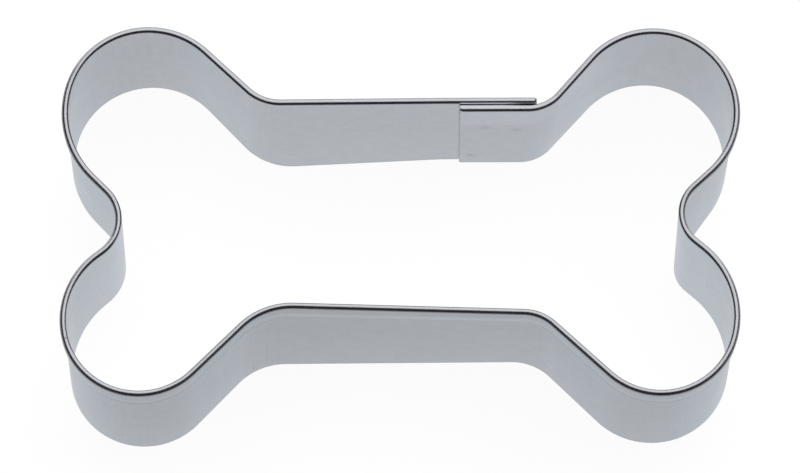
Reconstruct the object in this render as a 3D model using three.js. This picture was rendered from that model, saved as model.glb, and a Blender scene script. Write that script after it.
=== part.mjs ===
// Bone-shaped biscuit cutter, made the way such cutters are made: one strip of thin sheet
// steel, hemmed along its top, bent on edge round the outline, and closed by a lap joint
// that three spot welds hold.
//
// Millimetres, +Z up. The cutting edge lies on z = 0, X runs along the bone, and the lap
// joint is on the far long side, +Y.
//
// The strip is bent by hand over pins, so its cutting edge doesn't lie straight below its
// rim. Sizes with a rim and an edge value describe those two outlines, and the wall is ruled
// between them. Outlines are drawn through the middle of the sheet.

import * as THREE from 'three';

// Overall sizes, over the hem
const LENGTH = 79.35;
const WIDTH = 45.15;
const HEIGHT = 21.5;

// Strip and hem
const SHEET = 0.28; // thickness of the steel
const CREST_INSIDE = 0.35; // radius of the fold's crest on the inside of the bone
const CREST_OUTSIDE = 0.45; // and on the outside, where it is bent less tightly
const HEM_DEPTH = 3.7; // from the crest down to the raw edge of the folded leg
const HEM_SLIT = 0.04; // gap between that raw edge and the wall
const LEG_LEAN = 0.05; // how far the leg leans in below the crest
const LEG_TURN = 1.8; // above its raw edge, where the leg turns in to the wall

// Each knuckle of the bone is bent to two radii, one on its far or near side and one round the
// bone's end. They meet where the strip faces KNUCKLE_JOIN degrees off the bone's length.
const KNUCKLE_SIDE_RIM = { farRight: 9.3, nearRight: 8.5, nearLeft: 8.55, farLeft: 9.4 };
const KNUCKLE_SIDE_EDGE = { farRight: 9.25, nearRight: 8.95, nearLeft: 8.6, farLeft: 9.35 };
const KNUCKLE_END_RIM = { farRight: 9.8, nearRight: 10.5, nearLeft: 9.45, farLeft: 11.05 };
const KNUCKLE_END_EDGE = { farRight: 10.35, nearRight: 10.85, nearLeft: 10.75, farLeft: 10.55 };
const KNUCKLE_JOIN = { farRight: 45, nearRight: 20, nearLeft: 15, farLeft: 15 };

// How far each knuckle's rim stands inside the overall box, along the bone and across it
const INSET_X = { farRight: 0, nearRight: 0.25, nearLeft: 0.05, farLeft: 0 };
const INSET_Y = { farRight: 0.15, nearRight: 0.1, nearLeft: 0, farLeft: 0 };

// How far each knuckle's cutting edge stands out from below its rim, along the bone and across it
const EDGE_OUT_X = { farRight: -0.4, nearRight: -0.15, nearLeft: 0, farLeft: 0 };
const EDGE_OUT_Y = { farRight: 0.6, nearRight: 0.2, nearLeft: 0.55, farLeft: 0.15 };

// Radius of the bend at each shoulder, where a knuckle's flank meets the long side
const SHOULDER_RIM = { farRight: 4.95, nearRight: 5.55, nearLeft: 8.65, farLeft: 5.7 };
const SHOULDER_EDGE = { farRight: 4.75, nearRight: 6.55, nearLeft: 7.95, farLeft: 7.55 };

// Angle of each straight flank, in degrees: to the long side, and from the end notch
const FLANK_ANGLE_RIM = { farRight: 49.5, nearRight: 43, nearLeft: 45, farLeft: 43.5 };
const FLANK_ANGLE_EDGE = { farRight: 48, nearRight: 44.5, nearLeft: 46.5, farLeft: 46.5 };
const NOTCH_ANGLE_RIM = { farRight: 47, nearRight: 50, nearLeft: 53, farLeft: 44.5 };
const NOTCH_ANGLE_EDGE = { farRight: 35.5, nearRight: 49, nearLeft: 48.5, farLeft: 43 };

// Radius of the bend at the bottom of each end notch
const NOTCH_RIM = { right: 4.65, left: 5.2 };
const NOTCH_EDGE = { right: 3.55, left: 5.45 };

// The long sides: distance from the middle of the bone, and tilt in degrees.
// The far one is measured to the inner layer of the lap joint.
const NEAR_SIDE = { rim: 11.65, edge: 12.2 };
const NEAR_TILT = { rim: -1.6, edge: 0.5 };
const FAR_SIDE = { rim: 12.2, edge: 12.7 };
const FAR_TILT = { rim: 0.6, edge: 2.9 };

// Lap joint: the outer layer ends just past the start of the far right shoulder, and the
// inner layer ends LAP_LENGTH before that, in front of it.
const LAP_LENGTH = { rim: 9.0, edge: 7.85 };
const LAP_PAST_BEND = { rim: 1.0, edge: 0.6 };
const LAP_TILT = 0.2;
const LAP_GAP = 0.12; // between the two layers where the welds draw them together
const LAP_HEM_CLEARANCE = 0.18; // between the inner layer's hem and the outer layer
const LAP_KNEE_DROP = 3.2; // below the hem's raw edge, where the inner layer starts to lean in
const LAP_BEND_RADIUS = 60; // slight bend of the outer layer beside the lap
const LAP_BEND_LEAD = 2.0; // from that bend to the inner layer's end

// Spot welds
const WELD_RADIUS = 0.9;
const WELD_FIT = 0.02; // clearance to each layer
const WELD_ALONG = { low: 1.4, left: 3.1, right: 6.7 }; // from the inner layer's end
const WELD_ABOVE_EDGE = 2.8; // the low weld, above the cutting edge
const WELD_BELOW_KNEE = { left: 1.2, right: 2.0 }; // the two high welds, below the lap's knee

// Facets
const ARC_STEP = 8; // degrees to a facet on the bends
const STRAIGHT_STEP = 5; // length of a facet on the straights
const CREST_FACETS = 4; // on each half of the crest
const BORE_FACETS = 2; // on each half of the bore inside it
const WELD_FACETS = 24;

const STEEL = { color: 0xb2b8c0, roughness: 0.32, metalness: 1.0 };
const WELD_STEEL = { color: 0x9a9da3, roughness: 0.5, metalness: 1.0 };

// What follows from the sizes above
const CREST_TOP = CREST_INSIDE - SHEET / 2; // the crest's highest line, outside the middle of the wall
const CREST_HEIGHT = HEIGHT - CREST_OUTSIDE; // where the crest ends and its leg starts
const HEM_REACH = CREST_TOP + CREST_OUTSIDE; // how far the hem stands out of the wall's middle
const RAW_EDGE_HEIGHT = HEIGHT - HEM_DEPTH;
const KNEE_HEIGHT = RAW_EDGE_HEIGHT - LAP_KNEE_DROP;
const LAP_DISTANCE = {
  rim: HEM_REACH + LAP_HEM_CLEARANCE + SHEET / 2,
  edge: SHEET + LAP_GAP,
};
const WELDS = {
  spot_weld_low: { along: WELD_ALONG.low, height: WELD_ABOVE_EDGE },
  spot_weld_left: { along: WELD_ALONG.left, height: KNEE_HEIGHT - WELD_BELOW_KNEE.left },
  spot_weld_right: { along: WELD_ALONG.right, height: KNEE_HEIGHT - WELD_BELOW_KNEE.right },
};

const BENDS = {
  rim: {
    knuckleSide: KNUCKLE_SIDE_RIM,
    knuckleEnd: KNUCKLE_END_RIM,
    shoulder: SHOULDER_RIM,
    flankAngle: FLANK_ANGLE_RIM,
    notchAngle: NOTCH_ANGLE_RIM,
    notch: NOTCH_RIM,
  },
  edge: {
    knuckleSide: KNUCKLE_SIDE_EDGE,
    knuckleEnd: KNUCKLE_END_EDGE,
    shoulder: SHOULDER_EDGE,
    flankAngle: FLANK_ANGLE_EDGE,
    notchAngle: NOTCH_ANGLE_EDGE,
    notch: NOTCH_EDGE,
  },
};

const radians = THREE.MathUtils.degToRad;
const lerp = THREE.MathUtils.lerp;

function direction(degrees) {
  return new THREE.Vector2(Math.cos(radians(degrees)), Math.sin(radians(degrees)));
}

function leftOf(degrees) {
  return direction(degrees + 90);
}

// A straight stretch through a point, with its heading in degrees.
function straight(point, heading) {
  return { point, heading };
}

// Centre of a bend that leaves one straight stretch and joins the next.
function bendBetween(before, after, radius) {
  const turn = Math.sign(after.heading - before.heading);
  const a = leftOf(before.heading).multiplyScalar(turn);
  const b = leftOf(after.heading).multiplyScalar(turn);
  const reachA = a.dot(before.point) + radius;
  const reachB = b.dot(after.point) + radius;
  const det = a.cross(b);
  const centre = new THREE.Vector2(
    (reachA * b.y - reachB * a.y) / det,
    (reachB * a.x - reachA * b.x) / det,
  );
  return { centre, radius };
}

// Where a stretch with this heading touches a bend; turn is +1 for a left-hand bend.
function touchPoint(bend, heading, turn) {
  return bend.centre.clone().addScaledVector(leftOf(heading), -turn * bend.radius);
}

// The two bends of a knuckle, and the heading where they meet; facing is the way out there. The
// rim's bends fit inside the overall box, and the cutting edge's stand out from below them.
function knuckleBends(name, facing, level) {
  const sideRadius = BENDS[level].knuckleSide[name];
  const endRadius = BENDS[level].knuckleEnd[name];
  const outX = level === 'edge' ? EDGE_OUT_X[name] : 0;
  const outY = level === 'edge' ? EDGE_OUT_Y[name] : 0;
  const join = direction(facing);
  const endX = Math.sign(join.x) * (LENGTH / 2 - HEM_REACH - INSET_X[name] + outX - endRadius);
  const sideY = Math.sign(join.y) * (WIDTH / 2 - HEM_REACH - INSET_Y[name] + outY - sideRadius);
  const excess = sideRadius - endRadius;
  const sideCentre = new THREE.Vector2(endX - excess * join.x, sideY);
  const endCentre = new THREE.Vector2(endX, sideY + excess * join.y);
  return {
    side: { centre: sideCentre, radius: sideRadius, joinHeading: facing - 90 },
    end: { centre: endCentre, radius: endRadius, joinHeading: facing - 90 },
  };
}

// The strip's outline at one level, from the inner end of the lap, clockwise seen from above,
// to the outer end: a list of three.js curves with the angle each one turns through.
function outline(level) {
  const { shoulder, flankAngle, notchAngle, notch } = BENDS[level];
  const farRight = knuckleBends('farRight', KNUCKLE_JOIN.farRight, level);
  const nearRight = knuckleBends('nearRight', -KNUCKLE_JOIN.nearRight, level);
  const nearLeft = knuckleBends('nearLeft', -180 + KNUCKLE_JOIN.nearLeft, level);
  const farLeft = knuckleBends('farLeft', -180 - KNUCKLE_JOIN.farLeft, level);

  // A straight that touches a knuckle's bend, which is always a right-hand one.
  const touching = (bend, heading) => straight(touchPoint(bend, heading, -1), heading);

  // Headings fall by a full turn on the way round.
  const far = straight(new THREE.Vector2(0, FAR_SIDE[level]), LAP_TILT);
  const near = straight(new THREE.Vector2(0, -NEAR_SIDE[level]), NEAR_TILT[level] - 180);
  const flankFR = touching(farRight.side, flankAngle.farRight);
  const notchFR = touching(farRight.end, -90 - notchAngle.farRight);
  const notchNR = touching(nearRight.end, -90 + notchAngle.nearRight);
  const flankNR = touching(nearRight.side, -180 - flankAngle.nearRight);
  const flankNL = touching(nearLeft.side, -180 + flankAngle.nearLeft);
  const notchNL = touching(nearLeft.end, -270 - notchAngle.nearLeft);
  const notchFL = touching(farLeft.end, -270 + notchAngle.farLeft);
  const flankFL = touching(farLeft.side, -360 - flankAngle.farLeft);

  const shoulderFR = bendBetween(far, flankFR, shoulder.farRight);

  // The lap's two ends are set out from the start of the far right shoulder.
  const along = direction(LAP_TILT);
  const across = leftOf(LAP_TILT);
  const shoulderStart = touchPoint(shoulderFR, LAP_TILT, 1);
  const outerEnd = shoulderStart.clone()
    .addScaledVector(along, LAP_PAST_BEND[level])
    .addScaledVector(across, LAP_DISTANCE[level]);
  const innerEnd = outerEnd.clone()
    .addScaledVector(along, -LAP_LENGTH[level])
    .addScaledVector(across, -LAP_DISTANCE[level]);
  const lapBendPoint = outerEnd.clone().addScaledVector(along, -LAP_LENGTH[level] - LAP_BEND_LEAD);
  const farOuter = straight(lapBendPoint, FAR_TILT[level] - 360);
  const lapOuter = straight(lapBendPoint, LAP_TILT - 360);

  const stretches = [
    far, flankFR, notchFR, notchNR, flankNR, near, flankNL, notchNL, notchFL, flankFL, farOuter, lapOuter,
  ];
  const turns = [
    [shoulderFR],
    [farRight.side, farRight.end],
    [bendBetween(notchFR, notchNR, notch.right)],
    [nearRight.end, nearRight.side],
    [bendBetween(flankNR, near, shoulder.nearRight)],
    [bendBetween(near, flankNL, shoulder.nearLeft)],
    [nearLeft.side, nearLeft.end],
    [bendBetween(notchNL, notchFL, notch.left)],
    [farLeft.end, farLeft.side],
    [bendBetween(flankFL, farOuter, shoulder.farLeft)],
    [bendBetween(farOuter, lapOuter, LAP_BEND_RADIUS)],
  ];

  const pieces = [];
  let from = innerEnd;
  turns.forEach((bends, i) => {
    const after = stretches[i + 1].heading;
    let heading = stretches[i].heading;
    const turn = Math.sign(after - heading);
    pieces.push({ curve: new THREE.LineCurve(from, touchPoint(bends[0], heading, turn)), sweep: 0 });
    bends.forEach((bend, k) => {
      const next = k + 1 < bends.length ? bend.joinHeading : after;
      const { x, y } = bend.centre;
      const start = radians(heading - 90 * turn);
      const end = radians(next - 90 * turn);
      const arc = new THREE.EllipseCurve(x, y, bend.radius, bend.radius, start, end, turn < 0);
      pieces.push({ curve: arc, sweep: Math.abs(next - heading) });
      from = touchPoint(bend, next, turn);
      heading = next;
    });
  });
  pieces.push({ curve: new THREE.LineCurve(from, outerEnd), sweep: 0 });
  return { pieces, innerEnd };
}

const rim = outline('rim');
const edge = outline('edge');

// Stations along the strip: matching points of the two outlines, and the way out of the bone.
// hug is 1 where the inner layer lies flat on the outer one, and fades out round the shoulder.
function stations() {
  const list = [];
  rim.pieces.forEach((rimPiece, i) => {
    const rimCurve = rimPiece.curve;
    const edgeCurve = edge.pieces[i].curve;
    const sweep = Math.max(rimPiece.sweep, edge.pieces[i].sweep);
    const steps = Math.ceil(sweep > 0 ? sweep / ARC_STEP : rimCurve.getLength() / STRAIGHT_STEP);
    const first = i === 0 ? 0 : 1;
    for (let step = first; step <= steps; step += 1) {
      const t = step / steps;
      const heading = rimCurve.getTangent(t).add(edgeCurve.getTangent(t)).normalize();
      list.push({
        rim: rimCurve.getPoint(t),
        edge: edgeCurve.getPoint(t),
        out: new THREE.Vector2(-heading.y, heading.x),
        hug: i === 0 ? 1 : (i === 1 ? 1 - t : 0),
      });
    }
  });
  return list;
}

// The middle of the wall at a station and a height. The knee lets the inner layer of the lap
// stand parallel to the outer one up to the welds before its hem leans in.
function wallPoint(station, height) {
  const kneeShare = KNEE_HEIGHT / CREST_HEIGHT;
  const kneeShift = station.hug * (LAP_DISTANCE.rim - LAP_DISTANCE.edge) * kneeShare;
  const knee = station.edge.clone().lerp(station.rim, kneeShare).addScaledVector(station.out, kneeShift);
  if (height <= KNEE_HEIGHT) {
    return station.edge.clone().lerp(knee, height / KNEE_HEIGHT);
  }
  const share = Math.min(1, (height - KNEE_HEIGHT) / (CREST_HEIGHT - KNEE_HEIGHT));
  return knee.lerp(station.rim, share);
}

// Section of the strip: x is the distance out of the wall's middle, y the height. It runs up
// the inner face, over the crest, down the folded leg, round its raw edge, back up inside the
// fold and down the outer face.
function section() {
  const arc = (centre, radius, fromDegrees, toDegrees, facets) => {
    const points = [];
    for (let i = 0; i <= facets; i += 1) {
      const a = lerp(fromDegrees, toDegrees, i / facets);
      points.push(direction(a).multiplyScalar(radius).add(centre));
    }
    return points;
  };
  const inside = new THREE.Vector2(CREST_TOP, HEIGHT - CREST_INSIDE);
  const outside = new THREE.Vector2(CREST_TOP, CREST_HEIGHT);
  const legReach = HEM_REACH - LEG_LEAN;
  const legInside = SHEET / 2 + HEM_SLIT;
  const turnHeight = RAW_EDGE_HEIGHT + LEG_TURN;
  return [
    new THREE.Vector2(-SHEET / 2, 0),
    new THREE.Vector2(-SHEET / 2, KNEE_HEIGHT),
    ...arc(inside, CREST_INSIDE, 180, 90, CREST_FACETS),
    ...arc(outside, CREST_OUTSIDE, 90, 0, CREST_FACETS).slice(1),
    new THREE.Vector2(legReach, turnHeight),
    new THREE.Vector2(legInside + SHEET, RAW_EDGE_HEIGHT),
    new THREE.Vector2(legInside, RAW_EDGE_HEIGHT),
    new THREE.Vector2(legReach - SHEET, turnHeight),
    ...arc(outside, CREST_OUTSIDE - SHEET, 0, 90, BORE_FACETS),
    ...arc(inside, CREST_INSIDE - SHEET, 90, 180, BORE_FACETS).slice(1),
    new THREE.Vector2(SHEET / 2, KNEE_HEIGHT),
    new THREE.Vector2(SHEET / 2, 0),
  ];
}

// The strip: its section carried along the stations, with a flat cut at both ends.
function stripGeometry() {
  const profile = section();
  const rows = stations();
  const positions = [];
  rows.forEach((station) => {
    profile.forEach((corner) => {
      const middle = wallPoint(station, corner.y);
      positions.push(
        middle.x + station.out.x * corner.x,
        middle.y + station.out.y * corner.x,
        corner.y,
      );
    });
  });

  const index = [];
  const count = profile.length;
  for (let row = 0; row + 1 < rows.length; row += 1) {
    for (let k = 0; k < count; k += 1) {
      const a = row * count + k;
      const b = row * count + ((k + 1) % count);
      index.push(a, a + count, b, b, a + count, b + count);
    }
  }
  const last = (rows.length - 1) * count;
  THREE.ShapeUtils.triangulateShape(profile, []).forEach(([a, b, c]) => {
    index.push(a, c, b);
    index.push(last + a, last + b, last + c);
  });

  const geometry = new THREE.BufferGeometry();
  geometry.setAttribute('position', new THREE.Float32BufferAttribute(positions, 3));
  geometry.setIndex(index);
  geometry.computeVertexNormals();
  return geometry;
}

// A spot weld: a disc of fused metal in the gap between the two layers, square to them.
function weldMesh(name, { along, height }) {
  const lapAlong = direction(LAP_TILT);
  const lapAcross = leftOf(LAP_TILT);
  const station = { rim: rim.innerEnd, edge: edge.innerEnd, out: lapAcross, hug: 1 };
  const place = wallPoint(station, height)
    .addScaledVector(lapAlong, along)
    .addScaledVector(lapAcross, LAP_DISTANCE.edge / 2);
  const lower = wallPoint(station, 0);
  const upper = wallPoint(station, KNEE_HEIGHT);
  const leanIn = lapAcross.dot(upper.sub(lower)) / KNEE_HEIGHT;

  const disc = new THREE.CylinderGeometry(WELD_RADIUS, WELD_RADIUS, LAP_GAP - 2 * WELD_FIT, WELD_FACETS);
  const weld = new THREE.Mesh(disc, new THREE.MeshStandardMaterial(WELD_STEEL));
  weld.name = name;
  weld.position.set(place.x, place.y, height);
  const squareToLayers = new THREE.Vector3(lapAcross.x, lapAcross.y, -leanIn).normalize();
  weld.quaternion.setFromUnitVectors(new THREE.Vector3(0, 1, 0), squareToLayers);
  return weld;
}

const strip = new THREE.Mesh(stripGeometry(), new THREE.MeshStandardMaterial(STEEL));
strip.name = 'cutter_strip';

const cutter = new THREE.Group();
cutter.add(strip);
Object.entries(WELDS).forEach(([name, place]) => cutter.add(weldMesh(name, place)));

// The origin is below the middle of the whole cutter, on the cutting edge's plane.
const middle = new THREE.Box3().setFromObject(strip).getCenter(new THREE.Vector3());
cutter.position.set(-middle.x, -middle.y, 0);

export default cutter;
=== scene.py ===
"""Looks of the bone-shaped biscuit cutter.

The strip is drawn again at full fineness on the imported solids: the same two outlines, a round
hem, a softened cutting edge, sheared ends and the prints of the three spot welds. Its lengths
are in millimetres until a mesh or a material takes them, and MM turns them into metres. The
stage and the camera are in metres.
"""

import math
from typing import NamedTuple

import bpy
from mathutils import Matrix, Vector
from mathutils.geometry import tessellate_polygon


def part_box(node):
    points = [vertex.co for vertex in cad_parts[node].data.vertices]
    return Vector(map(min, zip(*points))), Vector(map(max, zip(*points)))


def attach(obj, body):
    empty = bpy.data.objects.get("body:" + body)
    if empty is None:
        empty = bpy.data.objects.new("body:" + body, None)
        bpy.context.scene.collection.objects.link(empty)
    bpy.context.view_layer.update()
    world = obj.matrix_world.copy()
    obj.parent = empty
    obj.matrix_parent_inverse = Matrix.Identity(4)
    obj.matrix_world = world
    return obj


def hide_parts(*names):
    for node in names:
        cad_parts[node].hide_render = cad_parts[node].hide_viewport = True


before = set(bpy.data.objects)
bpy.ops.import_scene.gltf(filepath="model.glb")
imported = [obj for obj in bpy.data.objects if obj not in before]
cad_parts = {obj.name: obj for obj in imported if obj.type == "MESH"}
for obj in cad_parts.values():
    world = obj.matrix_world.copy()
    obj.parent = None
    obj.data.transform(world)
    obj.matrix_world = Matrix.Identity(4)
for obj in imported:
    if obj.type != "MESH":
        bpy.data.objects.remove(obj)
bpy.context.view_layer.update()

MM = 0.001

# Overall sizes, over the hem
LENGTH = 79.35
WIDTH = 45.15
HEIGHT = 21.5

# Strip and hem
SHEET = 0.28
CREST_INSIDE = 0.35  # the crest's radius towards the inside of the bone
CREST_OUTSIDE = 0.45
HEM_DEPTH = 3.7  # from the top down to the hem's raw edge
HEM_SLIT = 0.04  # between the wall and the raw edge
LEG_LEAN = 0.05  # how far the hem's leg leans in, down to its turned end
LEG_TURN = 1.8  # height of the turned end

# The outlines of the rim and of the cutting edge, as the solids have them: radii, lengths, degrees
KNUCKLE_SIDE = {  # radius of each knuckle on the long side
    "rim": {"farRight": 9.3, "nearRight": 8.5, "nearLeft": 8.55, "farLeft": 9.4},
    "edge": {"farRight": 9.25, "nearRight": 8.95, "nearLeft": 8.6, "farLeft": 9.35},
}
KNUCKLE_END = {  # and round the end of the bone
    "rim": {"farRight": 9.8, "nearRight": 10.5, "nearLeft": 9.45, "farLeft": 11.05},
    "edge": {"farRight": 10.35, "nearRight": 10.85, "nearLeft": 10.75, "farLeft": 10.55},
}
# Where the two radii meet
KNUCKLE_FACING = {"farRight": 45, "nearRight": -20, "nearLeft": -165, "farLeft": -195}
INSET = {  # how far each knuckle's rim stays inside the overall sizes
    "farRight": Vector((0, 0.15)),
    "nearRight": Vector((0.25, 0.1)),
    "nearLeft": Vector((0.05, 0)),
    "farLeft": Vector((0, 0)),
}
EDGE_OUT = {  # how far its cutting edge stands out of its rim
    "farRight": Vector((-0.4, 0.6)),
    "nearRight": Vector((-0.15, 0.2)),
    "nearLeft": Vector((0, 0.55)),
    "farLeft": Vector((0, 0.15)),
}
SHOULDER = {  # radius between a long side and a flank
    "rim": {"farRight": 4.95, "nearRight": 5.55, "nearLeft": 8.65, "farLeft": 5.7},
    "edge": {"farRight": 4.75, "nearRight": 6.55, "nearLeft": 7.95, "farLeft": 7.55},
}
FLANK_ANGLE = {  # between the bone's length and the flank of each knuckle
    "rim": {"farRight": 49.5, "nearRight": 43, "nearLeft": 45, "farLeft": 43.5},
    "edge": {"farRight": 48, "nearRight": 44.5, "nearLeft": 46.5, "farLeft": 46.5},
}
NOTCH_ANGLE = {  # between the bone's width and the side of the notch at each knuckle
    "rim": {"farRight": 47, "nearRight": 50, "nearLeft": 53, "farLeft": 44.5},
    "edge": {"farRight": 35.5, "nearRight": 49, "nearLeft": 48.5, "farLeft": 43},
}
NOTCH = {  # radius of the notch at each end of the bone
    "rim": {"right": 4.65, "left": 5.2},
    "edge": {"right": 3.55, "left": 5.45},
}
NEAR_SIDE = {"rim": 11.65, "edge": 12.2}  # distance of the near long side from the middle
NEAR_TILT = {"rim": -1.6, "edge": 0.5}
FAR_SIDE = {"rim": 12.2, "edge": 12.7}
FAR_TILT = {"rim": 0.6, "edge": 2.9}

# Lap joint
LAP_LENGTH = {"rim": 9.0, "edge": 7.85}
LAP_PAST_BEND = {"rim": 1.0, "edge": 0.6}  # the outer end reaches this far past the shoulder's start
LAP_TILT = 0.2
LAP_GAP = 0.12
LAP_HEM_CLEARANCE = 0.18  # between the inner layer's hem and the outer layer
LAP_KNEE_DROP = 3.2  # from the hem's raw edge down to the inner layer's knee
LAP_BEND_RADIUS = 60  # the outer layer's slight bend before the lap
LAP_BEND_LEAD = 2.0

# Fine detail that only the looks need
EDGE_ROUND = 0.06  # softened corners of the sheared sheet
CORNER_ROUND = 0.4  # rounded corners at the strip's ends
LEG_TURN_ROUND = 0.15  # softened bend between the hem's leg and its turned end
NOSE_LENGTH = 0.5  # the crest's inside is rounded off this far at the lap's inner end
NOSE_DEPTH = 0.8  # and by this share of a full rounding
LAP_HEM_OPEN = 0.1  # the hem stands this much wider open at the lap's inner end
PRINT_RADIUS = 1.0  # print of a spot weld on the sheet
PRINT_DEPTH = 0.02

# Fineness of the mesh
BEND_STEP = 2.5  # degrees to a station on the bends
STRAIGHT_STEP = 2.0
LAP_STEP = 0.1  # on the lap, where the prints and the rounded corners are small
ROW_STEP = 1.2
PRINT_ROW_STEP = 0.22
PRINT_MARGIN = 1.3  # the rows are that close within this many radii of a print's middle
CREST_STEPS = 14  # on each of the crest's two quarter rounds
RAW_EDGE_STEPS = 4
CUTTING_EDGE_STEPS = 3
SLIT_OUTSIDE_STEPS = 5
SLIT_INSIDE_STEPS = 3
SHARP_ANGLE = 50  # degrees, above which the shading breaks at a corner

# Map that the finish reads: the way along the strip and the way across it, round the section
FINISH_MAP = "along_and_across"

# Darker band along the foot of the wall at the cutting edge, in the sheared edges' tone
FOOT_LINE = 0.4  # the height at which it has faded out
FOOT_LINE_DEPTH = 0.5

# Painted shade on the hem and the outside, in shares of the outside's painted shade; a pair is for
# straights and bends
LEG_SHADE = (1.7, 1.45)
TURN_SHADE = (0.9, 1.4)
HEM_LINE_SHADE = (0.9, 3.5)
CREST_LINE_SHADE = 3.4
CREST_FOOT_SHADE = 1.0
OUTER_SHADE = 1.0
HEM_LINE = 0.3  # width of the faint painted shadow line along the hem's raw edge
CREST_LINE_FROM = 0.75  # the painted shade low on the crest's outside, which widens its dark line, in shares of its radius
CREST_LINE_TO = 0.92
LENGTHWISE = 0.99  # only a straight whose heading is this nearly along the bone counts as one

# Painted light in the gap where the two hems of the lap face each other
LAP_LIGHT_SIDE = 0.6  # a crest takes the painted light beyond this share of its radius
LAP_LIGHT_FADE = 3.0  # the painted light on the inner hem fades out over this length
LAP_LIGHT_DEPTH = 1.5  # the painted light on the outer layer reaches this far below the top
LAP_LIGHT_SHORT = 0.1  # and stops this far short of the inner layer's end

# What follows from the sizes above
CREST_TOP = CREST_INSIDE - SHEET / 2
CREST_HEIGHT = HEIGHT - CREST_OUTSIDE
HEM_REACH = CREST_TOP + CREST_OUTSIDE
LEG_REACH = HEM_REACH - LEG_LEAN
RAW_EDGE_HEIGHT = HEIGHT - HEM_DEPTH
KNEE_HEIGHT = RAW_EDGE_HEIGHT - LAP_KNEE_DROP
LAP_DISTANCE = {"rim": HEM_REACH + LAP_HEM_CLEARANCE + SHEET / 2, "edge": SHEET + LAP_GAP}
PRINT_REACH = max(LAP_LENGTH.values()) + PRINT_RADIUS  # prints lie this near to the strip's ends
LAP_LIGHT_END = min(LAP_LENGTH.values())  # the painted light on the inner hem has faded out this far along it

# The imported spot welds, and the middle of each
WELD_NODES = [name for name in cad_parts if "weld" in name]
WELDS = [(sum(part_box(name), Vector()) / 2) / MM for name in WELD_NODES]


def direction(degrees):
    return Vector((math.cos(math.radians(degrees)), math.sin(math.radians(degrees))))


def left_of(degrees):
    return direction(degrees + 90)


def smooth(share):
    share = min(max(share, 0.0), 1.0)
    return share * share * (3 - 2 * share)


class Straight:
    """A straight stretch through a point, with its heading in degrees."""

    def __init__(self, point, heading):
        self.point = point
        self.heading = heading


class Bend:
    """A round bend; touch gives where a stretch with some heading meets it."""

    def __init__(self, centre, radius):
        self.centre = centre
        self.radius = radius

    def touch(self, heading, turn):
        return self.centre - left_of(heading) * (turn * self.radius)


class Line:
    """A straight run of an outline, from point to point."""

    sweep = 0.0

    def __init__(self, start, stop, heading):
        self.start = start
        self.stop = stop
        self.heading = heading
        self.length = (stop - start).length

    def at(self, share):
        return self.start.lerp(self.stop, share), self.heading


class Arc:
    """A run of an outline round a bend, from heading to heading; turn is 1 to the left, or -1."""

    def __init__(self, bend, before, after, turn):
        self.bend = bend
        self.before = before
        self.after = after
        self.turn = turn
        self.sweep = abs(after - before)
        self.length = math.radians(self.sweep) * bend.radius

    def at(self, share):
        heading = self.before + (self.after - self.before) * share
        return self.bend.touch(heading, self.turn), heading


class Station:
    """A place along the strip, where its section stands across the two outlines."""

    def __init__(self, rim, edge, out, hug, bend, flat):
        self.rim = rim  # middle of the sheet in the rim's outline
        self.edge = edge  # and in the cutting edge's
        self.out = out  # the way out of the bone
        self.hug = hug  # share by which the lap's inner layer hugs the outer one
        self.bend = bend  # 1 in the middle of a bend, 0 on the straights
        self.flat = flat  # 1 on the straights along the bone, 0 round its ends
        self.run = 0.0  # way along the rim from the lap's inner end
        self.ahead = 0.0  # way left to the lap's outer end

    def to_end(self):
        return min(self.run, self.ahead)


class Corner(NamedTuple):
    """A corner of the strip's section: distance out of the wall's middle, height, and which face."""

    offset: float
    height: float
    face: str


def bend_between(before, after, radius):
    """The bend of that radius which leads from one stretch into the next."""
    turn = math.copysign(1, after.heading - before.heading)
    a = left_of(before.heading) * turn
    b = left_of(after.heading) * turn
    reach_a = a.dot(before.point) + radius
    reach_b = b.dot(after.point) + radius
    det = a.x * b.y - a.y * b.x
    centre = Vector(((reach_a * b.y - reach_b * a.y) / det, (reach_b * a.x - reach_a * b.x) / det))
    return Bend(centre, radius)


def knuckle_bends(name, level):
    """A knuckle's two bends, on its side and round the bone's end, which meet where it faces."""
    side = KNUCKLE_SIDE[level][name]
    end = KNUCKLE_END[level][name]
    out = EDGE_OUT[name] if level == "edge" else Vector((0, 0))
    join = direction(KNUCKLE_FACING[name])
    end_x = math.copysign(LENGTH / 2 - HEM_REACH - INSET[name].x + out.x - end, join.x)
    side_y = math.copysign(WIDTH / 2 - HEM_REACH - INSET[name].y + out.y - side, join.y)
    excess = side - end
    return {
        "side": Bend(Vector((end_x - excess * join.x, side_y)), side),
        "end": Bend(Vector((end_x, side_y + excess * join.y)), end),
        "heading": KNUCKLE_FACING[name] - 90,
    }


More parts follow.
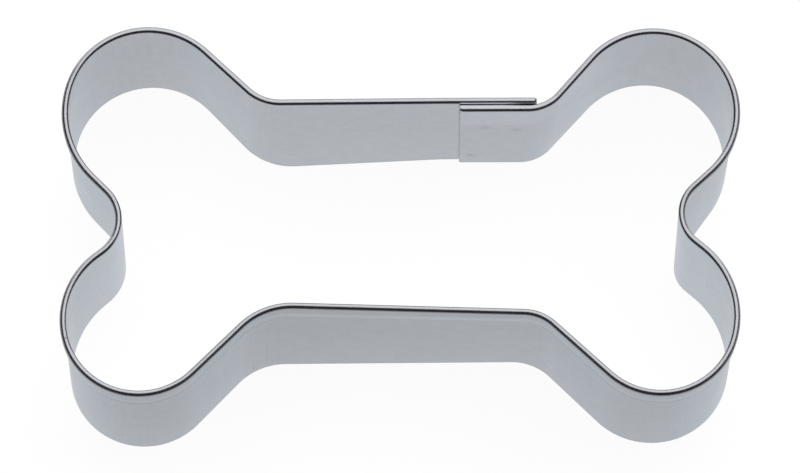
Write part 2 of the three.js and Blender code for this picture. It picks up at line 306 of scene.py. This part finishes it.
def outline(level):
    """Stretches of one outline in turn, the bends after each, and its two ends, inner one first."""
    shoulder = SHOULDER[level]
    flank = FLANK_ANGLE[level]
    notch = NOTCH_ANGLE[level]
    knuckles = {name: knuckle_bends(name, level) for name in KNUCKLE_FACING}

    def touching(name, part, heading):
        return Straight(knuckles[name][part].touch(heading, -1), heading)

    def round_knuckle(name, first, last):
        knuckle = knuckles[name]
        return [(knuckle[first], knuckle["heading"]), (knuckle[last], None)]

    def single(before, after, radius):
        return [(bend_between(before, after, radius), None)]

    far = Straight(Vector((0, FAR_SIDE[level])), LAP_TILT)
    near = Straight(Vector((0, -NEAR_SIDE[level])), NEAR_TILT[level] - 180)
    # The flank and the notch's side at each knuckle: far right, near right, near left, far left
    flank_fr = touching("farRight", "side", flank["farRight"])
    notch_fr = touching("farRight", "end", -90 - notch["farRight"])
    notch_nr = touching("nearRight", "end", -90 + notch["nearRight"])
    flank_nr = touching("nearRight", "side", -180 - flank["nearRight"])
    flank_nl = touching("nearLeft", "side", -180 + flank["nearLeft"])
    notch_nl = touching("nearLeft", "end", -270 - notch["nearLeft"])
    notch_fl = touching("farLeft", "end", -270 + notch["farLeft"])
    flank_fl = touching("farLeft", "side", -360 - flank["farLeft"])
    shoulder_fr = bend_between(far, flank_fr, shoulder["farRight"])

    along = direction(LAP_TILT)
    across = left_of(LAP_TILT) * LAP_DISTANCE[level]
    outer_end = shoulder_fr.touch(LAP_TILT, 1) + along * LAP_PAST_BEND[level] + across
    inner_end = outer_end - along * LAP_LENGTH[level] - across
    lap_bend = outer_end - along * (LAP_LENGTH[level] + LAP_BEND_LEAD)
    far_outer = Straight(lap_bend, FAR_TILT[level] - 360)
    lap_outer = Straight(lap_bend, LAP_TILT - 360)

    stretches = [
        far, flank_fr, notch_fr, notch_nr, flank_nr, near,
        flank_nl, notch_nl, notch_fl, flank_fl, far_outer, lap_outer,
    ]
    turns = [
        [(shoulder_fr, None)],
        round_knuckle("farRight", "side", "end"),
        single(notch_fr, notch_nr, NOTCH[level]["right"]),
        round_knuckle("nearRight", "end", "side"),
        single(flank_nr, near, shoulder["nearRight"]),
        single(near, flank_nl, shoulder["nearLeft"]),
        round_knuckle("nearLeft", "side", "end"),
        single(notch_nl, notch_fl, NOTCH[level]["left"]),
        round_knuckle("farLeft", "end", "side"),
        single(flank_fl, far_outer, shoulder["farLeft"]),
        single(far_outer, lap_outer, LAP_BEND_RADIUS),
    ]
    return stretches, turns, inner_end, outer_end


def runs_of(level):
    """One outline from end to end, as straight runs and runs round bends."""
    stretches, turns, start, end = outline(level)
    runs = []
    for before, after, bends in zip(stretches, stretches[1:], turns):
        heading = before.heading
        turn = math.copysign(1, after.heading - heading)
        first_bend, _ = bends[0]
        runs.append(Line(start, first_bend.touch(heading, turn), heading))
        for bend, until in bends:
            stop = after.heading if until is None else until
            runs.append(Arc(bend, heading, stop, turn))
            start = bend.touch(stop, turn)
            heading = stop
    runs.append(Line(start, end, stretches[-1].heading))
    return runs


def stations():
    """Matching places of the two outlines, from the lap's inner end to its outer one."""
    rims = runs_of("rim")
    edges = runs_of("edge")
    lengthwise = [run.sweep == 0 and abs(direction(run.heading).x) > LENGTHWISE for run in rims]
    found = []
    for i, (rim, edge) in enumerate(zip(rims, edges)):
        sweep = max(rim.sweep, edge.sweep)
        bent = sweep > 0
        step = LAP_STEP if i in (0, len(rims) - 1) else STRAIGHT_STEP
        steps = math.ceil(max(sweep / BEND_STEP, rim.length / step))
        for k in range(0 if i == 0 else 1, steps + 1):
            share = k / steps
            rim_point, rim_heading = rim.at(share)
            edge_point, edge_heading = edge.at(share)
            flat = float(lengthwise[i])
            if bent:
                flat = lengthwise[i - 1] * (1 - share) + lengthwise[i + 1] * share
            found.append(Station(
                rim=rim_point,
                edge=edge_point,
                out=left_of((rim_heading + edge_heading) / 2),
                hug={0: 1.0, 1: 1.0 - share}.get(i, 0.0),
                bend=math.sin(math.pi * share) if bent else 0.0,
                flat=flat,
            ))
    for before, station in zip(found, found[1:]):
        station.run = before.run + (station.rim - before.rim).length
    for station in found:
        station.ahead = found[-1].run - station.run
    return found


def row_heights():
    """Heights of the wall's rows, from the cutting edge to the crest, closer at the weld prints."""
    heights = [EDGE_ROUND, FOOT_LINE]
    while heights[-1] < HEIGHT - CREST_INSIDE:
        near_print = any(abs(heights[-1] - weld.z) < PRINT_MARGIN * PRINT_RADIUS for weld in WELDS)
        heights.append(heights[-1] + (PRINT_ROW_STEP if near_print else ROW_STEP))
    heights[-1] = HEIGHT - CREST_INSIDE
    return heights


def arc_corners(centre, radius, start, stop, steps, face):
    """Corners of the section round a centre, from one angle to another."""
    corners = []
    for i in range(steps + 1):
        spot = centre + direction(start + (stop - start) * i / steps) * radius
        corners.append(Corner(spot.x, spot.y, face))
    return corners


def leg_corners(top, knee, foot):
    """Corners down the outside of the hem's leg and of its turned end."""
    corners = []
    for face, a, b in (("leg", top, knee), ("turn", knee, foot)):
        softened = LEG_TURN_ROUND / (b - a).length
        for share in (softened, 0.5, 1 - softened):
            corners.append(Corner(*a.lerp(b, share), face))
    return corners


def section():
    """Corners of the strip's section, up its inside, over the hem and down its outside."""
    half = SHEET / 2
    inside = Vector((CREST_TOP, HEIGHT - CREST_INSIDE))
    outside = Vector((CREST_TOP, CREST_HEIGHT))
    leg_in = half + HEM_SLIT
    leg_out = leg_in + SHEET
    leg_top = outside + Vector((CREST_OUTSIDE, 0))
    leg_knee = Vector((LEG_REACH, RAW_EDGE_HEIGHT + LEG_TURN))
    leg_foot = Vector((leg_out, RAW_EDGE_HEIGHT + EDGE_ROUND))
    outer_raw = Vector((leg_out - EDGE_ROUND, leg_foot.y))
    inner_raw = Vector((leg_in + EDGE_ROUND, leg_foot.y))
    outer_edge = Vector((half - EDGE_ROUND, EDGE_ROUND))
    inner_edge = Vector((-half + EDGE_ROUND, EDGE_ROUND))
    wall = row_heights()[:-1]

    corners = [Corner(-half, height, "inner") for height in wall]
    corners += arc_corners(inside, CREST_INSIDE, 180, 90, CREST_STEPS, "crest")
    corners += arc_corners(outside, CREST_OUTSIDE, 90, 0, CREST_STEPS, "crest")[1:]
    corners += leg_corners(leg_top, leg_knee, leg_foot)
    corners += arc_corners(outer_raw, EDGE_ROUND, 0, -90, RAW_EDGE_STEPS, "cut")[1:]
    corners += arc_corners(inner_raw, EDGE_ROUND, -90, -180, RAW_EDGE_STEPS, "cut")
    corners.append(Corner(LEG_REACH - SHEET, leg_knee.y, "slit"))
    corners += arc_corners(outside, CREST_OUTSIDE - SHEET, 0, 90, SLIT_OUTSIDE_STEPS, "slit")
    corners += arc_corners(inside, CREST_INSIDE - SHEET, 90, 180, SLIT_INSIDE_STEPS, "slit")[1:]
    corners += [Corner(half, height, "outer") for height in reversed(wall)]
    corners += arc_corners(outer_edge, EDGE_ROUND, 0, -90, CUTTING_EDGE_STEPS, "cut")[1:]
    corners += arc_corners(inner_edge, EDGE_ROUND, -90, -180, CUTTING_EDGE_STEPS, "cut")[:-1]
    return corners


def wall_point(station, height):
    """Middle of the wall at a height; the lap's inner layer hugs the outer one up to the knee."""
    knee_share = KNEE_HEIGHT / CREST_HEIGHT
    shift = station.hug * (LAP_DISTANCE["rim"] - LAP_DISTANCE["edge"]) * knee_share
    knee = station.edge.lerp(station.rim, knee_share) + station.out * shift
    if height <= KNEE_HEIGHT:
        return station.edge.lerp(knee, height / KNEE_HEIGHT)
    share = min(1.0, (height - KNEE_HEIGHT) / (CREST_HEIGHT - KNEE_HEIGHT))
    return knee.lerp(station.rim, share)


def outward(corner):
    """How far out of the crest's top a corner lies, as a share of the crest's outside radius."""
    return (corner.offset - CREST_TOP) / CREST_OUTSIDE


def inward(corner):
    """How far inside the crest's top a corner lies, as a share of the crest's inside radius."""
    return (CREST_TOP - corner.offset) / CREST_INSIDE


def hem_opening(station, corner):
    """How far the hem stands open at the lap's inner end, beyond its section."""
    if corner.face not in ("crest", "leg", "turn", "slit"):
        return 0.0
    return LAP_HEM_OPEN * max(0.0, outward(corner)) * station.hug


def nose(station, corner):
    """How far a corner of the crest's inside moves out, where the lap's inner end is rounded off."""
    if corner.face != "crest" or corner.offset > CREST_TOP or station.run >= NOSE_LENGTH:
        return 0.0
    inset = NOSE_DEPTH * (1 - station.run / NOSE_LENGTH)
    return (CREST_TOP - corner.offset) * (1 - math.sqrt(1 - inset ** 2))


def corner_trim(to_end):
    """How much the rounded corners take off the height, this far from the strip's end."""
    if to_end >= CORNER_ROUND:
        return 0.0
    inset = CORNER_ROUND - to_end
    return CORNER_ROUND - math.sqrt(CORNER_ROUND ** 2 - inset ** 2)


def trimmed(station, height):
    """A height between the rounded corners, which are low at both ends and high at the outer one."""
    foot = corner_trim(station.to_end())
    top = corner_trim(station.ahead)
    return foot + height * (HEIGHT - foot - top) / HEIGHT


def weld_print(station, corner, spot):
    """1 in the middle of a spot weld's print on either side of the lap, 0 outside it."""
    from_end = {"inner": station.run, "outer": station.ahead}.get(corner.face, PRINT_REACH)
    if from_end >= PRINT_REACH:
        return 0.0
    away = min(math.hypot(spot.x - weld.x, corner.height - weld.z) for weld in WELDS)
    return 1.0 - smooth(away / PRINT_RADIUS)


def strip_points(rows, corners):
    """The mesh's points, station by station, and the share of a weld's print on each."""
    points = []
    prints = []
    for station in rows:
        for corner in corners:
            out = corner.offset + hem_opening(station, corner) + nose(station, corner)
            spot = wall_point(station, corner.height) + station.out * out
            pressed = weld_print(station, corner, spot)
            spot = spot + station.out * (math.copysign(PRINT_DEPTH, -corner.offset) * pressed)
            points.append((spot.x, spot.y, trimmed(station, corner.height)))
            prints.append(pressed)
    return points, prints


def fit_to_packed(points):
    """Points in metres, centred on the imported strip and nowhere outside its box."""
    fitted = []
    for axis, (low, high) in enumerate(zip(*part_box("cutter_strip"))):
        values = [point[axis] for point in points]
        size = max(values) - min(values)
        own_middle = (max(values) + min(values)) / 2
        scale = min(MM, (high - low) / size)
        fitted.append([(low + high) / 2 + (value - own_middle) * scale for value in values])
    return list(zip(*fitted))


def strip_faces(row_count, corners):
    """Quads from station to station all round the section, then triangles over the strip's ends."""
    count = len(corners)
    faces = []
    for row in range(row_count - 1):
        for k in range(count):
            a = row * count + k
            b = row * count + (k + 1) % count
            faces.append((a, a + count, b + count, b))
    last = (row_count - 1) * count
    for a, b, c in tessellate_polygon([[Vector((x, y, 0)) for x, y, _ in corners]]):
        faces.append((a, b, c))
        faces.append((last + a, last + c, last + b))
    return faces


def map_finish(mesh, rows, corners):
    """Gives the mesh the map for its finish; the last face round the section closes it."""
    count = len(corners)
    across = [0.0]
    for (x0, y0, _), (x1, y1, _) in zip(corners, corners[1:] + corners[:1]):
        across.append(across[-1] + math.hypot(x1 - x0, y1 - y0))
    layer = mesh.uv_layers.new(name=FINISH_MAP)
    for polygon in mesh.polygons:
        closes = len(polygon.vertices) == 4 and polygon.index % count == count - 1
        for loop in polygon.loop_indices:
            row, k = divmod(mesh.loops[loop].vertex_index, count)
            way_across = across[count] if closes and k == 0 else across[k]
            layer.data[loop].uv = (rows[row].run * MM, way_across * MM)


# The shares painted on the mesh; all take a station and a corner of its section


def cut_share(station, corner):
    """How much of the sheared edges' tone shows."""
    if corner.face == "cut":
        return 1.0
    # a darker band at the foot of the wall along the cutting edge, in part of the sheared edges'
    # tone
    at_foot = corner.face in ("inner", "outer") and corner.height <= EDGE_ROUND
    return FOOT_LINE_DEPTH if at_foot else 0.0


def crest_share(station, corner):
    return 1.0 if corner.face == "crest" else 0.0


def outside_shade_share(station, corner):
    """How much painted shade the outer wall, the hem's leg and the foot of its crest take; 0
    elsewhere.
    """
    def painted_shade(straight, bent):
        return straight + (bent - straight) * (1 - station.flat)

    # painted shade on the crest's lowest outside corners, a painted shadow line at the raw edge, and
    # darker leg and outer wall
    if corner.face == "crest":
        if outward(corner) < CREST_LINE_FROM:
            return 0.0
        return CREST_LINE_SHADE if outward(corner) < CREST_LINE_TO else CREST_FOOT_SHADE
    if corner.face == "turn":
        at_raw_edge = corner.height < RAW_EDGE_HEIGHT + HEM_LINE
        return painted_shade(*(HEM_LINE_SHADE if at_raw_edge else TURN_SHADE))
    return {"leg": painted_shade(*LEG_SHADE), "outer": OUTER_SHADE}.get(corner.face, 0.0)


def lap_light_share(station, corner):
    """How much painted light the lap's gap takes, on the back of its inner hem and on what that
    faces.
    """
    if corner.face == "crest" and outward(corner) > LAP_LIGHT_SIDE:
        return smooth((LAP_LIGHT_END - station.run) / LAP_LIGHT_FADE)
    facing = inward(corner) > LAP_LIGHT_SIDE and corner.height > HEIGHT - LAP_LIGHT_DEPTH
    return 1.0 if facing and station.ahead < LAP_LENGTH["rim"] - LAP_LIGHT_SHORT else 0.0


# The strip's sheared ends; their dark tone is partly their own and partly painted shade of the gap
# at the lap's ends
def end_share(station, corner):
    return 1.0 if station.to_end() == 0 else 0.0


def bend_share(station, corner):
    return station.bend


def hemmed_strip():
    """The strip as a fine mesh, with a map and painted shares for its finish."""
    corners = section()
    rows = stations()
    points, prints = strip_points(rows, corners)
    mesh = bpy.data.meshes.new("hemmed_strip")
    mesh.from_pydata(fit_to_packed(points), [], strip_faces(len(rows), corners))
    mesh.validate()
    map_finish(mesh, rows, corners)

    painted = {"print": prints}
    shares = {
        "cut": cut_share,
        "crest": crest_share,
        "outside": outside_shade_share,
        "lap_light": lap_light_share,
        "end": end_share,
        "bend": bend_share,
    }
    for name, share in shares.items():
        painted[name] = [share(station, corner) for station in rows for corner in corners]
    for name, values in painted.items():
        mesh.attributes.new(name, "FLOAT", "POINT").data.foreach_set("value", values)

    mesh.polygons.foreach_set("use_smooth", [True] * len(mesh.polygons))
    mesh.set_sharp_from_angle(angle=math.radians(SHARP_ANGLE))
    strip = bpy.data.objects.new("hemmed_strip", mesh)
    bpy.context.scene.collection.objects.link(strip)
    return strip


class Nodes:
    """Shorthand for a material's or world's node tree."""

    # Colour sockets of the mix node, which come after its sockets for numbers and vectors
    MIX_A = 6
    MIX_B = 7
    MIX_RESULT = 2

    def __init__(self, owner):
        owner.use_nodes = True
        self.tree = owner.node_tree
        self.tree.nodes.clear()

    def add(self, kind, inputs=None, **settings):
        node = self.tree.nodes.new(kind)
        for name, value in settings.items():
            setattr(node, name, value)
        for key, value in (inputs or {}).items():
            if isinstance(value, bpy.types.NodeSocket):
                self.tree.links.new(value, node.inputs[key])
            else:
                node.inputs[key].default_value = value
        return node

    def math(self, operation, a, b=0.0, clamp=False):
        node = self.add("ShaderNodeMath", {0: a, 1: b}, operation=operation, use_clamp=clamp)
        return node.outputs[0]

    def total(self, base, *terms):
        """The base plus each term, a socket and its weight."""
        for socket, weight in terms:
            base = self.math("ADD", self.math("MULTIPLY", socket, weight), base)
        return base

    def span(self, value, low, high, to_low=0.0, to_high=1.0):
        inputs = {0: value, 1: low, 2: high, 3: to_low, 4: to_high}
        return self.add("ShaderNodeMapRange", inputs).outputs[0]

    def noise(self, vector, scale=1.0, detail=2.0, roughness=0.5):
        inputs = {"Vector": vector, "Scale": scale, "Detail": detail, "Roughness": roughness}
        return self.add("ShaderNodeTexNoise", inputs).outputs[0]

    def vector(self, operation, a, b=(0.0, 0.0, 0.0)):
        return self.add("ShaderNodeVectorMath", {0: a, 1: b}, operation=operation)

    def stretched(self, vector, x, y):
        return self.vector("MULTIPLY", vector, (x, y, 1.0)).outputs[0]

    def mix(self, share, a, b):
        inputs = {0: share, self.MIX_A: a, self.MIX_B: b}
        return self.add("ShaderNodeMix", inputs, data_type="RGBA").outputs[self.MIX_RESULT]

    def bump(self, height, strength, distance):
        inputs = {"Height": height, "Strength": strength, "Distance": distance}
        return self.add("ShaderNodeBump", inputs).outputs[0]

    def attribute(self, name):
        return self.add("ShaderNodeAttribute", attribute_name=name).outputs["Fac"]


# Grain of the sheet, in waves to a metre; a pair is along the strip and across it
ROLLING_LINES = (60, 7000)
BROAD_LINES = (25, 1400)
BEND_CREASES = (2600, 90)
CLOUDS = 190.0
BLOTCHES = 700.0
SPECKS = 1900.0
SPECK_PEAKS = (0.76, 0.80)  # the noise shows as specks from the first level, fully from the second
SPECK_DEPTH = 0.35
NOISE_MIDDLE = 0.5

# Where the painted light and shade on the sheet change, from millimetre to millimetre
PAST_SHAFT = (15, 20)  # along the bone from its middle
PAST_NOTCH = (5, 9)  # across it from its middle
KNUCKLE_TIPS = (29, 37)  # along it again
LOW_WALL = (13, 0.5)  # down the wall, where painted light grows towards the cutting edge

# The sheet's tone and roughness, and how much painted light and shade change the tone there
TONE_BASE = 0.05
# painted light on the walls of the notches
NOTCH_LIGHT = 0.12
LOW_LIGHT = (0.14, 0.26)  # painted light low on the wall, inside and outside
KNUCKLE_SHADE = (0.06, 0.11)  # painted shade inside the knuckles, towards the shaft and at the tips
# painted shade on the outside and the hem
OUTSIDE_SHADE = 0.145
ROUGH_BASE = 0.19

# Colours of the sheet, of its painted light and shade, and how far the prints and sheared faces take
# on theirs
STEEL_DARK = (0.333, 0.331, 0.350, 1)
STEEL_LIGHT = (0.515, 0.512, 0.532, 1)
STEEL_GLANCE = (0.883, 0.947, 1.0, 1)
# the colour that the painted shade darkens towards
BLACK = (0, 0, 0, 1)
# painted light in the gap between the lap's two hems
LAP_LIGHT = (0.85, 0.85, 0.87, 1)
SPECK = (0.2, 0.2, 0.21, 1)
PRINTED = (0.24, 0.23, 0.22, 1)
PRINT_TINT = 0.05
SHEARED = (0.27, 0.275, 0.285, 1)
SHEARED_TINT = 0.6
# the strip's ends: their own sheared tone, darkened further as painted shade of the gap at the lap's
# ends
STRIP_END = (0.12, 0.12, 0.125, 1)
STRIP_END_TINT = 0.65

# Handling marks: place along the strip and across it, half sizes that way, and depth of tone
MARKS = [
    ((163.0, 21.6), (0.16, 0.14), 0.8),  # nick in the near left crest
    ((212.0, 15.2), (0.10, 0.35), 0.5),  # speck in the far left knuckle
    ((62.6, 9.1), (0.14, 0.40), 0.45),  # small dent beside the right notch
    ((135.2, 24.8), (0.35, 0.18), 0.5),  # scratches below the rim at the near shoulders
    ((134.8, 24.2), (0.30, 0.15), 0.35),
    ((102.3, 25.2), (0.30, 0.22), 0.55),
    ((132.9, 43.5), (0.06, 3.50), 0.2),  # creases where the near left shoulder was bent
    ((134.7, 47.3), (0.06, 1.80), 0.35),
    ((134.6, 48.9), (0.14, 0.50), 0.5),
]
MARK_EDGE = (0.5, 1.3)  # a mark fades out between these shares of its half sizes

# Spot welds: grain in waves to a metre, roughness over the grain's range, and colours
WELD_GRAIN = 4000.0
WELD_MOTTLE = 900.0
WELD_GRAIN_RANGE = (0.2, 0.8)
WELD_ROUGH = (0.38, 0.6)
WELD_DARK = (0.33, 0.33, 0.335, 1)
WELD_LIGHT = (0.45, 0.455, 0.47, 1)
WELD_HEATED = (0.34, 0.30, 0.26, 1)
WELD_HEATED_TINT = 0.4


def metres(lengths):
    return [length * MM for length in lengths]


def handling_marks(n, uv, specks):
    """The specks with the handling marks among them, the deeper one wherever two meet."""
    for (run, across), (half_run, half_across), depth in MARKS:
        away = n.vector("SUBTRACT", uv, (run * MM, across * MM, 0)).outputs[0]
        away = n.stretched(away, 1 / (half_run * MM), 1 / (half_across * MM))
        away = n.vector("LENGTH", away).outputs["Value"]
        specks = n.math("MAXIMUM", specks, n.span(away, *MARK_EDGE, depth, 0.0))
    return specks


def metal_shader(n, inputs):
    """Ends a material's tree with bare metal that has these inputs."""
    shader = n.add("ShaderNodeBsdfPrincipled", {"Metallic": 1.0, **inputs})
    n.add("ShaderNodeOutputMaterial", {"Surface": shader.outputs[0]})


def sheet_steel():
    """Bright rolled sheet: fine lines along the strip, soft clouds, a few specks, and painted light
    and shade.
    """
    material = bpy.data.materials.new("sheet_steel")
    n = Nodes(material)
    uv = n.add("ShaderNodeUVMap", uv_map=FINISH_MAP).outputs[0]
    place = n.add("ShaderNodeTexCoord").outputs["Object"]
    x, y, height = n.add("ShaderNodeSeparateXYZ", {0: place}).outputs
    from_middle = n.math("ABSOLUTE", x)
    prints = n.attribute("print")
    cut = n.attribute("cut")
    # painted shade on the outside and the hem
    outside = n.attribute("outside")
    crest = n.attribute("crest")

    lines = n.noise(n.stretched(uv, *ROLLING_LINES), detail=3.0, roughness=0.6)
    broad_lines = n.noise(n.stretched(uv, *BROAD_LINES))
    clouds = n.noise(place, CLOUDS, detail=3.0, roughness=0.55)
    blotches = n.noise(place, BLOTCHES)
    specks = n.span(n.noise(place, SPECKS, detail=1.0), *SPECK_PEAKS)
    specks = handling_marks(n, uv, n.math("MULTIPLY", specks, SPECK_DEPTH))
    creases = n.math("SUBTRACT", n.noise(n.stretched(uv, *BEND_CREASES)), NOISE_MIDDLE)
    creases = n.math("MULTIPLY", creases, n.attribute("bend"))

    past_shaft = n.span(from_middle, *metres(PAST_SHAFT))
    past_notch = n.span(n.math("ABSOLUTE", y), *metres(PAST_NOTCH))
    knuckle = n.math("MULTIPLY", past_shaft, past_notch)
    # the notches' walls, which take painted light
    notch = n.math("SUBTRACT", past_shaft, n.math("MAXIMUM", knuckle, crest), clamp=True)
    inside = n.math("SUBTRACT", 1.0, n.math("MAXIMUM", outside, crest), clamp=True)
    # the knuckles' inner walls, which take painted shade
    in_knuckle = n.math("MULTIPLY", knuckle, inside)
    # painted light, growing towards the cutting edge
    low = n.span(height, *metres(LOW_WALL))

    # The last two terms are painted light, low on the walls and on the notches' walls
    bright = n.total(
        TONE_BASE,
        (lines, 0.08),
        (broad_lines, 0.1),
        (clouds, 0.34),
        (blotches, 0.32),
        (creases, 0.3),
        (low, n.span(outside, 0, 1, *LOW_LIGHT)),
        (notch, NOTCH_LIGHT),
    )
    # Painted shade on the outside and the hem, and inside the knuckles
    painted_shade = n.total(
        0.0,
        (outside, OUTSIDE_SHADE),
        (in_knuckle, n.span(from_middle, *metres(KNUCKLE_TIPS), *KNUCKLE_SHADE)),
    )
    steel = n.mix(bright, STEEL_DARK, STEEL_LIGHT)
    coats = [
        (painted_shade, BLACK),
        # painted light in the lap's gap
        (n.attribute("lap_light"), LAP_LIGHT),
        (specks, SPECK),
        (n.math("MULTIPLY", prints, PRINT_TINT), PRINTED),
        (n.math("MULTIPLY", cut, SHEARED_TINT), SHEARED),
        # the strip's ends, partly painted shade of the gap at the lap's ends
        (n.math("MULTIPLY", n.attribute("end"), STRIP_END_TINT), STRIP_END),
    ]
    for share, colour in coats:
        steel = n.mix(share, steel, colour)

    rough = n.total(
        ROUGH_BASE,
        (lines, 0.04),
        (clouds, 0.12),
        (crest, 0.01),
        (prints, 0.12),
        (cut, 0.25),
    )
    relief = n.total(lines, (broad_lines, 0.6))
    metal_shader(n, {
        "Base Color": steel,
        "Roughness": rough,
        "Specular Tint": STEEL_GLANCE,
        "Normal": n.bump(relief, strength=0.02, distance=0.02 * MM),
    })
    return material


def weld_steel():
    """Dull fused metal of the spot welds, mottled by heat."""
    material = bpy.data.materials.new("weld_steel")
    n = Nodes(material)
    place = n.add("ShaderNodeTexCoord").outputs["Object"]
    grain = n.noise(place, WELD_GRAIN, detail=4.0, roughness=0.6)
    heat = n.math("MULTIPLY", n.noise(place, WELD_MOTTLE), WELD_HEATED_TINT)
    fused = n.mix(heat, n.mix(grain, WELD_DARK, WELD_LIGHT), WELD_HEATED)
    metal_shader(n, {
        "Base Color": fused,
        "Roughness": n.span(grain, *WELD_GRAIN_RANGE, *WELD_ROUGH),
        "Normal": n.bump(grain, strength=0.3, distance=0.03 * MM),
    })
    return material


# The stage: white floor, one soft ceiling light and one soft panel behind, dark room in front
FLOOR_SIZE = 8.0
FLOOR_DROP = 0.00002  # just clear of the cutting edge
FLOOR_GLOW = 0.95  # its own light where it is seen
FLOOR_SHADE = 0.12  # the rest there, which is lit by the lamps and takes the shadow
FLOOR_ALBEDO = 0.8  # for the light that it throws back on the part
WHITE = (1, 1, 1, 1)
ROOM = (0.032, 0.034, 0.040, 1)
CEILING_HEIGHT = 1.5
CEILING_LEFT = -0.9
CEILING_RIGHT = 1.8
CEILING_NEAR = -0.05
CEILING_FAR = 2.2
PANEL_WIDTH = 4.8
PANEL_FOOT = 0.2
SOFT_RADIANCE = 1.49
SOFT_COLOUR = (0.958, 0.99, 1.0)


def grey(level):
    return (level, level, level, 1)


def floor_material():
    """White floor: seen directly or in the metal it glows up to white, and it keeps a shadow."""
    material = bpy.data.materials.new("white_floor")
    n = Nodes(material)
    path = n.add("ShaderNodeLightPath").outputs
    seen = n.math("MAXIMUM", path["Is Glossy Ray"], path["Is Transmission Ray"])
    seen = n.math("MAXIMUM", path["Is Camera Ray"], seen)
    plain = n.add("ShaderNodeBsdfDiffuse", {"Color": grey(FLOOR_ALBEDO)})
    shade = n.add("ShaderNodeBsdfDiffuse", {"Color": grey(FLOOR_SHADE)})
    glow = n.add("ShaderNodeEmission", {"Color": WHITE, "Strength": FLOOR_GLOW})
    glowing = n.add("ShaderNodeAddShader", {0: shade.outputs[0], 1: glow.outputs[0]})
    both = n.add("ShaderNodeMixShader", {0: seen, 1: plain.outputs[0], 2: glowing.outputs[0]})
    n.add("ShaderNodeOutputMaterial", {"Surface": both.outputs[0]})
    return material


def floor():
    half = FLOOR_SIZE / 2
    mesh = bpy.data.meshes.new("floor")
    corners = [(-half, -half), (half, -half), (half, half), (-half, half)]
    mesh.from_pydata([(x, y, -FLOOR_DROP) for x, y in corners], [], [(0, 1, 2, 3)])
    mesh.materials.append(floor_material())
    plane = bpy.data.objects.new("floor", mesh)
    bpy.context.scene.collection.objects.link(plane)


def soft_light(name, centre, width, length, towards):
    """A large soft lamp of even brightness, which the metal mirrors and the camera doesn't see."""
    lamp = bpy.data.lights.new(name, "AREA")
    lamp.shape = "RECTANGLE"
    lamp.size = width
    lamp.size_y = length
    lamp.energy = SOFT_RADIANCE * math.pi * width * length
    lamp.color = SOFT_COLOUR
    holder = bpy.data.objects.new(name, lamp)
    holder.location = centre
    holder.rotation_euler = Vector(towards).to_track_quat("-Z", "Y").to_euler()
    holder.visible_camera = False
    bpy.context.scene.collection.objects.link(holder)


def lights():
    width = CEILING_RIGHT - CEILING_LEFT
    depth = CEILING_FAR - CEILING_NEAR
    middle = ((CEILING_LEFT + CEILING_RIGHT) / 2, (CEILING_NEAR + CEILING_FAR) / 2, CEILING_HEIGHT)
    soft_light("ceiling", middle, width, depth, (0, 0, -1))
    rise = CEILING_HEIGHT - PANEL_FOOT
    panel_middle = (0, CEILING_FAR, (CEILING_HEIGHT + PANEL_FOOT) / 2)
    soft_light("back_panel", panel_middle, PANEL_WIDTH, rise, (0, -1, 0))


def room():
    world = bpy.data.worlds.new("dark_room")
    bpy.context.scene.world = world
    n = Nodes(world)
    dark = n.add("ShaderNodeBackground", {"Color": ROOM, "Strength": 1.0})
    n.add("ShaderNodeOutputWorld", {"Surface": dark.outputs[0]})


# The camera: a long lens, high in front of the near long side
CAMERA_ELEVATION = 73.0
CAMERA_DISTANCE = 1.0
CAMERA_REACH = 20.0
LENS = 382.5
SENSOR = 36.0
CAMERA_X = -0.105  # the spot it looks at, in millimetres from the part's middle
CAMERA_Y = 0.08


def camera():
    data = bpy.data.cameras.new("camera")
    data.lens = LENS
    data.sensor_width = SENSOR
    data.clip_end = CAMERA_REACH
    view = bpy.data.objects.new("camera", data)
    tilt = math.radians(CAMERA_ELEVATION)
    target = Vector((CAMERA_X, CAMERA_Y, HEIGHT / 2)) * MM
    view.location = target + Vector((0, -math.cos(tilt), math.sin(tilt))) * CAMERA_DISTANCE
    view.rotation_euler = (math.pi / 2 - tilt, 0, 0)
    bpy.context.scene.collection.objects.link(view)
    bpy.context.scene.camera = view


bpy.context.scene.view_settings.view_transform = "Standard"
camera()
lights()
room()
floor()

strip = hemmed_strip()
strip.data.materials.append(sheet_steel())
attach(strip, "root")
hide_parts("cutter_strip")

fused = weld_steel()
for name in WELD_NODES:
    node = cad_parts[name]
    node.data.materials.clear()
    node.data.materials.append(fused)
